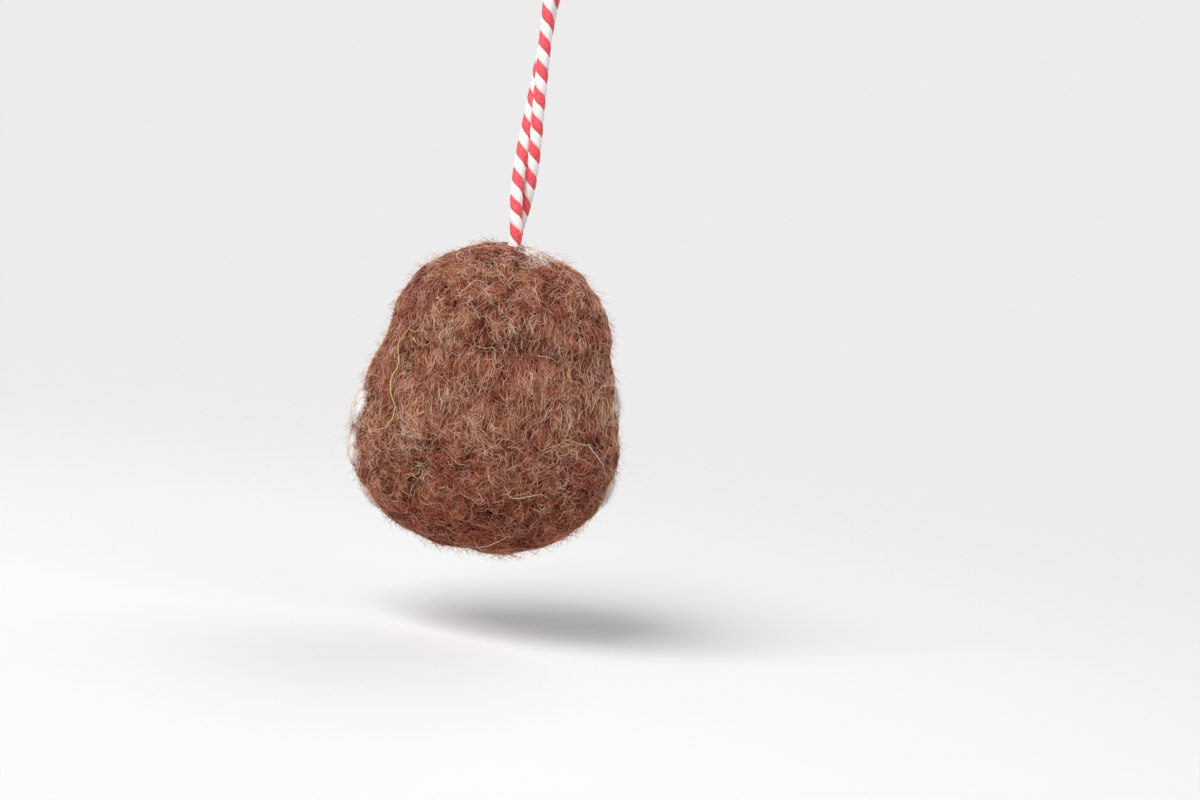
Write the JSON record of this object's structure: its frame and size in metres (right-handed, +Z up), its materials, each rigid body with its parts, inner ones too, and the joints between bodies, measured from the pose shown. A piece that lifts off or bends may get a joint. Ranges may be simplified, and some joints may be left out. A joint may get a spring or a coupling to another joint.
{
  "type": "needle-felted hanging ornament",
  "caption": "Rounded brown needle-felted wool ornament, wider below, with a ring of white wool tufts round its edge and a knotted loop of two-colour twine to hang it by.",
  "frame": {"origin": "middle of the overhand knot that the twine loop hangs from", "axes": "+Z up along the hanging twine, +X to the right of the plain side, -Y out of the plain side"},
  "size_m": [0.0422, 0.0264, 0.1212],
  "materials": {
    "brown_wool": "needle-felted carded wool, matt, with loose curled fibres",
    "cream_wool": "needle-felted core wool, matt",
    "white_wool": "needle-felted white wool, soft and fluffy",
    "bakers_twine": "two-ply cotton baker's twine, one red ply and one white ply"
  },
  "bodies": {
    "hanger": {"loop_knot": "bakers_twine", "knot_tail_a": "bakers_twine", "knot_tail_b": "bakers_twine"},
    "loop": {"loop_strand_a": "bakers_twine", "loop_strand_b": "bakers_twine"},
    "ornament": {"wool_coat": "brown_wool", "wool_core": "cream_wool", "twine_stitch": "bakers_twine", "white_tuft_01": "white_wool", "white_tuft_02": "white_wool", "white_tuft_03": "white_wool", "white_tuft_04": "white_wool", "white_tuft_05": "white_wool", "white_tuft_06": "white_wool", "white_tuft_07": "white_wool", "white_tuft_08": "white_wool", "white_tuft_09": "white_wool", "white_tuft_10": "white_wool", "white_tuft_11": "white_wool", "white_tuft_12": "white_wool", "white_tuft_13": "white_wool", "white_tuft_14": "white_wool", "white_tuft_15": "white_wool", "white_tuft_16": "white_wool", "white_tuft_17": "white_wool", "white_tuft_18": "white_wool", "white_tuft_19": "white_wool", "white_tuft_20": "white_wool"}
  },
  "joints": [
    {"name": "loop_swing", "type": "hinge", "parent": "hanger", "child": "loop", "pos_m": [0, 0, 0], "axis": [1, 0, 0], "range_deg": [-80, 80]},
    {"name": "ornament_tip", "type": "hinge", "parent": "loop", "child": "ornament", "pos_m": [0, 0, -0.058], "axis": [0, 1, 0], "range_deg": [-70, 70]}
  ]
}
